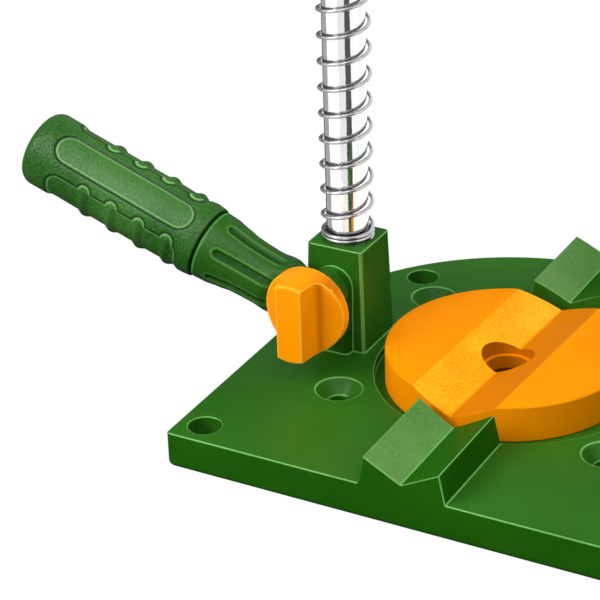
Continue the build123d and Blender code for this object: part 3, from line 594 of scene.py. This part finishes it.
# The handle's own lengths are in mm, and its angles in degrees
handleSet = {
    "pivot": Vector((-columnX, 0, 40.7 * mm)), "rise": 19.9, "drop": 3.58, "planeY": -24, "seam": 48.05,
}
rise = radians(handleSet["rise"])
outward = Vector((-cos(rise), 0, sin(rise)))
upward = Vector((sin(rise), 0, cos(rise)))
forward = Vector((0, -1, 0))
axisFoot = handleSet["pivot"] - upward * (handleSet["drop"] * mm) + Vector((0, handleSet["planeY"] * mm, 0))

# How much a size eases between its places, and how far a full round stays short of half the width
ease, hair = 0.35, 0.01
spinRadius = 10 * mm


def smoothStep(low, high, value):
    t = min(1.0, max(0.0, (value - low) / (high - low)))
    return t * t * (3 - 2 * t)


# A bell of height 1 round zero
def bell(off, wide):
    return exp(-(off / wide) ** 2)


# Size at a place, from (place, size) pairs
def along(value, points):
    if value <= points[0][0]:
        return points[0][1]
    for (a, u), (b, v) in zip(points, points[1:]):
        if value <= b:
            return u + (v - u) * (smoothStep(a, b, value) * ease + (value - a) / (b - a) * (1 - ease))
    return points[-1][1]


# Distance outside a rounded rectangle, negative inside
def roundedBox(x, y, halfX, halfY, corner):
    dx, dy = abs(x) - halfX + corner, abs(y) - halfY + corner
    return hypot(max(dx, 0), max(dy, 0)) + min(max(dx, dy), 0) - corner


# A tube spun about the handle's axis, then pushed in and out
def spunGrid(rows, around, shape, placeOf):
    bm = bmesh.new()
    places = [axisFoot + outward * placeOf(i / (rows - 1)) * mm + forward * spinRadius for i in range(rows)]
    verts = [bm.verts.new(place) for place in places]
    edges = [bm.edges.new(pair) for pair in zip(verts, verts[1:])]
    bmesh.ops.spin(bm, geom=verts + edges, cent=axisFoot, axis=outward, dvec=(0, 0, 0),
                   angle=2 * pi, steps=around, use_merge=True, use_duplicate=False)
    # Each point also carries how much painted crease shade and painted highlight it gets
    for name in ("creaseShade", "paintedHighlight"):
        bm.verts.layers.float.new(name)
    creaseShadeLayer, highlightLayer = (bm.verts.layers.float[name] for name in ("creaseShade", "paintedHighlight"))
    for v in bm.verts:
        offset = v.co - axisFoot
        s = offset.dot(outward)
        f, u = offset.dot(forward), offset.dot(upward)
        x, y, v[creaseShadeLayer], v[highlightLayer] = shape(s / mm, degrees(atan2(u, f)))
        v.co = axisFoot + outward * s + forward * x * mm + upward * y * mm
    bmesh.ops.holes_fill(bm, edges=[e for e in bm.edges if e.is_boundary], sides=0)
    bmesh.ops.recalc_face_normals(bm, faces=bm.faces)
    return bm


# Line keys set the grooves and the painted shade in them; highlight and sheen keys set painted highlights
# beside the grooves and on the panel's floor
gripSet = {
    "rows": 280, "around": 330, "facing": 52.5, "length": 78.95, "lengthToTip": 78.92, "tipShare": 0.07,
    "radius": ((48.05, 13.1), (48.7, 14.2), (52, 14.6), (70, 15.0), (110, 14.9), (121.5, 15.0)),
    "arc": 15.0, "tipFrom": 122.5, "tipLong": 4.5, "tipRound": 4.2, "seamLine": (48.9, 48.4),
    "panelMid": 85.0, "panelHalf": 31.0, "panelWide": 6.2, "panelDepth": 0.6, "panelSoft": 0.35,
    "panelLine": 0.1,
    "sideMid": 84.5, "sideHalf": 29.5, "sideAngle": 90.0, "sideSpan": 44.0, "sideDepth": 0.8, "sideSoft": 0.4,
    "sideCorner": 5.0, "ridges": (59.6, 72.2, 84.8, 97.4), "ridgeHalf": 2.7, "ridgeRise": 0.3,
    "ridgeReach": 54.0, "ridgeSoft": 0.3, "lineWide": 0.40, "lineDepth": 0.3, "sideLine": 0.45,
    "farFrom": (20.0, 40.0), "farWider": 0.6, "highlightInset": 0.80, "highlightWide": 0.34, "sideHighlight": 0.22,
    "highlightMost": 0.75, "panelSheen": 0.08, "floorFrom": (-0.5, -1.2), "sharp": 50.0,
}


# Place forward and upward in mm, how much painted shade lies in a crease and how much painted highlight, at a
# place along and around the grip
def gripPoint(s, angle):
    g = gripSet
    full = along(s, g["radius"])
    off = (angle - g["facing"] + 180) % 360 - 180
    if s > g["tipFrom"]:
        end = min(1.0, (s - g["tipFrom"]) / g["tipLong"])
        full -= g["tipRound"] * (1 - sqrt(max(0.0, 1 - end * end)))
    panel = roundedBox(s - g["panelMid"], radians(off) * g["arc"], g["panelHalf"], g["panelWide"],
                       g["panelWide"] - hair)
    side = radians(abs(off) - g["sideAngle"]) * g["arc"]
    flank = roundedBox(s - g["sideMid"], side, g["sideHalf"], radians(g["sideSpan"]) * g["arc"],
                       g["sideCorner"])
    ridge = min(roundedBox(s - place, side, g["ridgeHalf"], radians(g["ridgeReach"]) * g["arc"],
                           g["ridgeHalf"] - hair) for place in g["ridges"])
    edge = min(flank, ridge)
    base = (full - g["panelDepth"] * smoothStep(g["panelSoft"], -g["panelSoft"], panel)
            - g["sideDepth"] * smoothStep(g["sideSoft"], -g["sideSoft"], flank))
    if ridge < g["ridgeSoft"]:
        base += (full + g["ridgeRise"] - base) * smoothStep(g["ridgeSoft"], -g["ridgeHalf"], ridge)
    far = 1.0 + g["farWider"] * smoothStep(*g["farFrom"], off)
    line = (bell(panel - g["panelLine"], g["lineWide"]) + smoothStep(*g["seamLine"], s)
            + bell(edge - g["sideLine"] * far, g["lineWide"] * far))
    paintedHighlight = bell(panel + g["highlightInset"], g["highlightWide"]) + far * bell(edge + g["sideHighlight"], g["highlightWide"] * far)
    paintedHighlight = max(g["highlightMost"] * paintedHighlight, g["panelSheen"] * smoothStep(*g["floorFrom"], panel))
    r, turn = base - g["lineDepth"] * line, radians(angle)
    return r * cos(turn), r * sin(turn), min(1.0, line), min(1.0, paintedHighlight)


# Rows crowd together towards the rounded tip
def gripPlace(t):
    g, seam, start = gripSet, handleSet["seam"], 1 - gripSet["tipShare"]
    if t < start:
        return seam + g["length"] * t
    return seam + g["lengthToTip"] * (start + g["tipShare"] * sin((t - start) / g["tipShare"] * pi / 2))


bm = spunGrid(gripSet["rows"], gripSet["around"], gripPoint, gripPlace)
addPiece(bm, "handleGrip", "greenGrip", "handle", ("handle_grip",), gripSet["sharp"])

# The lug is a flat disc whose middle stands back from the handle's plane by lugMid
neckSet = {
    "radius": ((6.0, 8.6), (10.0, 10.0), (13.6, 11.0), (18, 11.1), (22.6, 11.05), (27, 11.2), (32, 11.5),
               (36, 12.25), (42.5, 13.3), (48.0, 13.6)),
    "rows": 150, "around": 320, "start": 6.0, "lugHalf": 6.15, "lugMid": 1.15, "lugRadius": 8.4,
    "lugInset": 0.1, "roundFrom": (9.0, 21.0), "squareness": 1.2, "seamFrom": (47.3, 47.9), "seamDepth": 0.7,
    "flutes": 7, "fluteTurn": 27.7, "fluteDepth": 1.15, "fluteHalf": 1.8, "fluteEnd": 41.7,
    "fluteFrom": (14, 20), "fluteEdge": (0.2, -1.0), "fluteShade": 0.65, "darkEdge": (-0.1, -0.9),
    "highlightMost": 0.7, "highlightOut": 0.35, "highlightWide": 0.4, "rimHighlight": 46.9, "rimWide": 0.3, "sharp": 60.0,
}


def neckPoint(s, angle):
    n = neckSet
    full = smoothStep(*n["roundFrom"], s)
    height, thinnest = along(s, n["radius"]), n["lugHalf"] - n["lugInset"]
    depth = thinnest + (height - thinnest) * full
    power = 1.0 + n["squareness"] * (1 - full)
    c, w = cos(radians(angle)), sin(radians(angle))
    x = depth * abs(c) ** (1 / power) * (1 if c > 0 else -1)
    y = height * abs(w) ** (1 / power) * (1 if w > 0 else -1)
    step = 360 / n["flutes"]
    off = (degrees(atan2(y, x)) - n["fluteTurn"] + step / 2) % step - step / 2
    reach = hypot(radians(off) * height, max(0.0, s - (n["fluteEnd"] - n["fluteHalf"]))) - n["fluteHalf"]
    start = smoothStep(*n["fluteFrom"], s)
    cut = n["fluteDepth"] * smoothStep(*n["fluteEdge"], reach) * start
    seam = smoothStep(*n["seamFrom"], s)
    thin = 1 - (cut + n["seamDepth"] * seam) / hypot(x, y)
    # The flutes and the seam get painted shade, and painted highlights run beside the flutes and round the
    # rim by the seam
    creaseShade = max(n["fluteShade"] * smoothStep(*n["darkEdge"], reach) * start, seam)
    paintedHighlight = n["highlightMost"] * bell(reach - n["highlightOut"], n["highlightWide"]) * start
    paintedHighlight += bell(s - n["rimHighlight"], n["rimWide"])
    return x * thin - n["lugMid"] * (1 - full), y * thin, creaseShade, paintedHighlight


def neckPlace(t):
    return neckSet["start"] + (handleSet["seam"] - neckSet["start"]) * t


bm = spunGrid(neckSet["rows"], neckSet["around"], neckPoint, neckPlace)
lugPlace = handleSet["pivot"] + Vector((0, (handleSet["planeY"] + neckSet["lugMid"]) * mm, 0))
addDrum(bm, neckSet["lugRadius"] * mm, -neckSet["lugHalf"] * mm, neckSet["lugHalf"] * mm,
        Matrix.Translation(lugPlace) @ Matrix.Rotation(pi / 2, 4, "X"))
addPiece(bm, "handleNeck", "greenNeck", "handle", ("handle_core",), neckSet["sharp"])
dressCad("handle_washer", "handleWasher", "zincSteel", "handle", washerRound)
softCad("wing_knob", "wingKnob", "orangePlastic", "knob", voxel=0.3 * mm, passes=10)
dressCad("knob_stud", "knobStud", "zincSteel", "knob", washerRound)
print("handle made")

floorSet = {"size": 6.0, "lit": 0.5, "mirrored": 0.10, "near": 0.06, "darkTo": 0.118, "lightFrom": 0.150,
            "under": 0.06, "rough": 0.9}


# White to the eye but for a spot under the plate's middle, dim in reflections, pale as it sends light on
def addFloor(s):
    bm = bmesh.new()
    bmesh.ops.create_grid(bm, x_segments=1, y_segments=1, size=s["size"])
    mesh = bpy.data.meshes.new("floor")
    bm.to_mesh(mesh)
    bm.free()
    floor = bpy.data.objects.new("floor", mesh)
    bpy.context.collection.objects.link(floor)
    look, tree, shader = newLook("paleFloor")
    shader.inputs["Base Color"].default_value = (s["lit"], s["lit"], s["lit"], 1)
    shader.inputs["Roughness"].default_value = s["rough"]
    shader.inputs["Specular IOR Level"].default_value = 0.0
    path, place = tree.nodes.new("ShaderNodeLightPath"), tree.nodes.new("ShaderNodeTexCoord")
    spot = tree.nodes.new("ShaderNodeSeparateXYZ")
    glow, plain = tree.nodes.new("ShaderNodeEmission"), tree.nodes.new("ShaderNodeEmission")
    byGloss, byEye = tree.nodes.new("ShaderNodeMixShader"), tree.nodes.new("ShaderNodeMixShader")
    tree.links.new(place.outputs["Object"], spot.inputs[0])
    across, away = spot.outputs["X"], spot.outputs["Y"]
    reach = reckon(tree, "SQRT", reckon(tree, "ADD", reckon(tree, "MULTIPLY", across, across),
                                        reckon(tree, "MULTIPLY", away, away)))
    beyond = reckon(tree, "GREATER_THAN", reach, s["under"])
    clear = reckon(tree, "MULTIPLY", beyond, path.outputs["Is Camera Ray"])
    dimmed = spread(tree, away, -s["darkTo"], -s["lightFrom"], s["near"], s["mirrored"])
    joinUp(tree, (dimmed, glow.inputs["Strength"]),
           (path.outputs["Is Glossy Ray"], byGloss.inputs[0]), (shader.outputs[0], byGloss.inputs[1]),
           (glow.outputs[0], byGloss.inputs[2]), (clear, byEye.inputs[0]),
           (byGloss.outputs[0], byEye.inputs[1]), (plain.outputs[0], byEye.inputs[2]),
           (byEye.outputs[0], tree.nodes["Material Output"].inputs["Surface"]))
    mesh.materials.append(look)


addFloor(floorSet)


# A rectangular light at a place, facing a point
def addLight(name, place, size, power, aim):
    data = bpy.data.lights.new(name, "AREA")
    data.shape, data.size, data.size_y, data.energy = "RECTANGLE", size[0], size[1], power
    light = bpy.data.objects.new(name, data)
    bpy.context.collection.objects.link(light)
    light.location = place
    light.rotation_mode = "QUATERNION"
    light.rotation_quaternion = (aim - light.location).to_track_quat("-Z", "Y")
    return light


# Place, size, power and whether it shows in gloss
lightSet = {
    "keyBox": ((0.70, -0.52, 1.20), (0.8, 0.8), 6.0, True),
    "topBox": ((-0.10, -0.58, 1.15), (0.35, 0.35), 2.6, True),
    "frontBox": ((-0.78, -0.95, 0.90), (0.6, 0.6), 14.0, True),
    "rearBox": ((0.40, 1.10, 0.85), (0.95, 0.65), 7.5, False),
}
lightAim = Vector((0, 0, 0.03))
for name, (place, size, power, inGloss) in lightSet.items():
    addLight(name, place, size, power, lightAim).visible_glossy = inGloss

# Upright strips of soft light round each column, which only bright metal sees. Each goes from one angle to
# another, off the camera's side of the column, and the third number is its brightness
stripSet = {
    "reach": 17 * mm, "low": 44 * mm, "high": 205 * mm,
    "strips": ((-126, -84, 0.55), (-84, -28, 1.75), (-28, 2, 1.38), (2, 26, 0.04), (26, 100, 1.68),
               (100, 172, 1.75)),
    "seenBy": ("leftColumn", "rightColumn", "leftSpring", "rightSpring", "stopRod"),
}
brightMetal = bpy.data.collections.new("brightMetal")
for name in stripSet["seenBy"]:
    brightMetal.objects.link(bpy.data.objects[name])
for side, centre in columnSides:
    middle = Vector((centre, 0, (stripSet["low"] + stripSet["high"]) / 2))
    for number, (start, end, bright) in enumerate(stripSet["strips"]):
        turn = radians((start + end) / 2 + cameraSet["azimuth"])
        wide, tall = 2 * stripSet["reach"] * tan(radians(end - start) / 2), stripSet["high"] - stripSet["low"]
        place = middle + Vector((sin(turn), -cos(turn), 0)) * stripSet["reach"]
        strip = addLight(f"{side}Strip{number}", place, (wide, tall), bright * pi * wide * tall, middle)
        strip.visible_camera = strip.visible_diffuse = False
        strip.light_linking.receiver_collection = brightMetal

worldSet = {"seen": 1.0, "lit": 0.32}


# White to the eye, dimmer as light
def addWorld(s):
    world = bpy.data.worlds.new("studio")
    bpy.context.scene.world = world
    world.use_nodes = True
    sky = world.node_tree
    seen, dim = sky.nodes["Background"], sky.nodes.new("ShaderNodeBackground")
    either = sky.nodes.new("ShaderNodeMixShader")
    for node, value in ((seen, s["seen"]), (dim, s["lit"])):
        node.inputs["Color"].default_value = (value, value, value, 1)
    joinUp(sky, (sky.nodes.new("ShaderNodeLightPath").outputs["Is Camera Ray"], either.inputs[0]),
           (dim.outputs[0], either.inputs[1]), (seen.outputs[0], either.inputs[2]),
           (either.outputs[0], sky.nodes["World Output"].inputs["Surface"]))


addWorld(worldSet)
bpy.context.scene.view_settings.view_transform = "Standard"
print("stage made")
